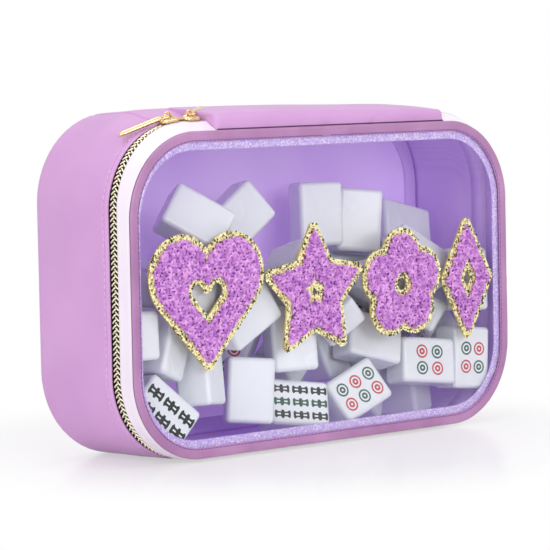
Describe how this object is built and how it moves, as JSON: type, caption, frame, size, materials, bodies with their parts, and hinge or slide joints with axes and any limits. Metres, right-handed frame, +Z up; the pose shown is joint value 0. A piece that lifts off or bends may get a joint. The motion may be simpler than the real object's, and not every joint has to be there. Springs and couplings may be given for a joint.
{
  "type": "game tile bag with clear front",
  "caption": "Soft zip-round carry bag with a clear hinged front cover, sewn patches and loose game tiles inside.",
  "frame": {"origin": "bottom centre of the bag's bounding box, on the table", "axes": "+X to the right as seen from the front, -Y out through the clear front, +Z up"},
  "size_m": [0.29, 0.0808, 0.1872],
  "materials": {
    "orchid_leather": "soft satin, fine grain",
    "lining_fabric": "matt, fine weave",
    "zip_tape": "matt black woven tape",
    "zip_metal": "antique gilt over black",
    "gold_metal": "polished gilt",
    "clear_vinyl": "clear, glossy",
    "mauve_binding": "soft satin",
    "trim_tape": "woven with a shiny thread",
    "pale_gusset": "glossy",
    "glitter_felt": "gold glitter",
    "looped_pile": "looped, matt",
    "tile_plastic": "polished"
  },
  "bodies": {
    "bag": {"side_band": "orchid_leather", "top_panel": "orchid_leather", "back_panel": "orchid_leather", "hinge_strip": "orchid_leather", "lining_band": "lining_fabric", "lining_back": "lining_fabric", "seam_tape": "lining_fabric", "zip_tape": "zip_tape", "tray_teeth": "zip_metal", "end_stops": "gold_metal", "bamboo_tiles": "tile_plastic", "dot_tiles": "tile_plastic", "plain_tiles": "tile_plastic", "blank_tiles": "tile_plastic"},
    "cover": {"window": "clear_vinyl", "window_binding": "mauve_binding", "trim_tape": "trim_tape", "cover_gusset": "pale_gusset", "cover_teeth": "zip_metal", "heart_felt": "glitter_felt", "heart_pile": "looped_pile", "star_felt": "glitter_felt", "star_pile": "looped_pile", "flower_felt": "glitter_felt", "flower_pile": "looped_pile", "diamond_felt": "glitter_felt", "diamond_pile": "looped_pile"},
    "left_slider": {"left_slider": "gold_metal"},
    "left_pull": {"left_pull": "gold_metal"},
    "right_slider": {"right_slider": "gold_metal"},
    "right_pull": {"right_pull": "gold_metal"}
  },
  "joints": [
    {"name": "cover_hinge", "type": "hinge", "parent": "bag", "child": "cover", "pos_m": [0, -0.03662, 0.177], "axis": [-1, 0, 0], "range_deg": [0, 180]},
    {"name": "left_slider_travel", "type": "hinge", "parent": "bag", "child": "left_slider", "pos_m": [-0.096, -0.02312, 0.134], "axis": [0, -1, 0], "range_deg": [0, 69]},
    {"name": "left_pull_flip", "type": "hinge", "parent": "left_slider", "child": "left_pull", "pos_m": [-0.10295, -0.02312, 0.18346], "axis": [0.3387, 0.9397, 0.0476], "range_deg": [0, 115]},
    {"name": "right_slider_travel", "type": "slide", "parent": "bag", "child": "right_slider", "axis": [-1, 0, 0], "range_m": [0, 0.0024]},
    {"name": "right_pull_flip", "type": "hinge", "parent": "right_slider", "child": "right_pull", "pos_m": [-0.0878, -0.02312, 0.18395], "axis": [0.5736, -0.8192, 0], "range_deg": [0, 75]}
  ]
}
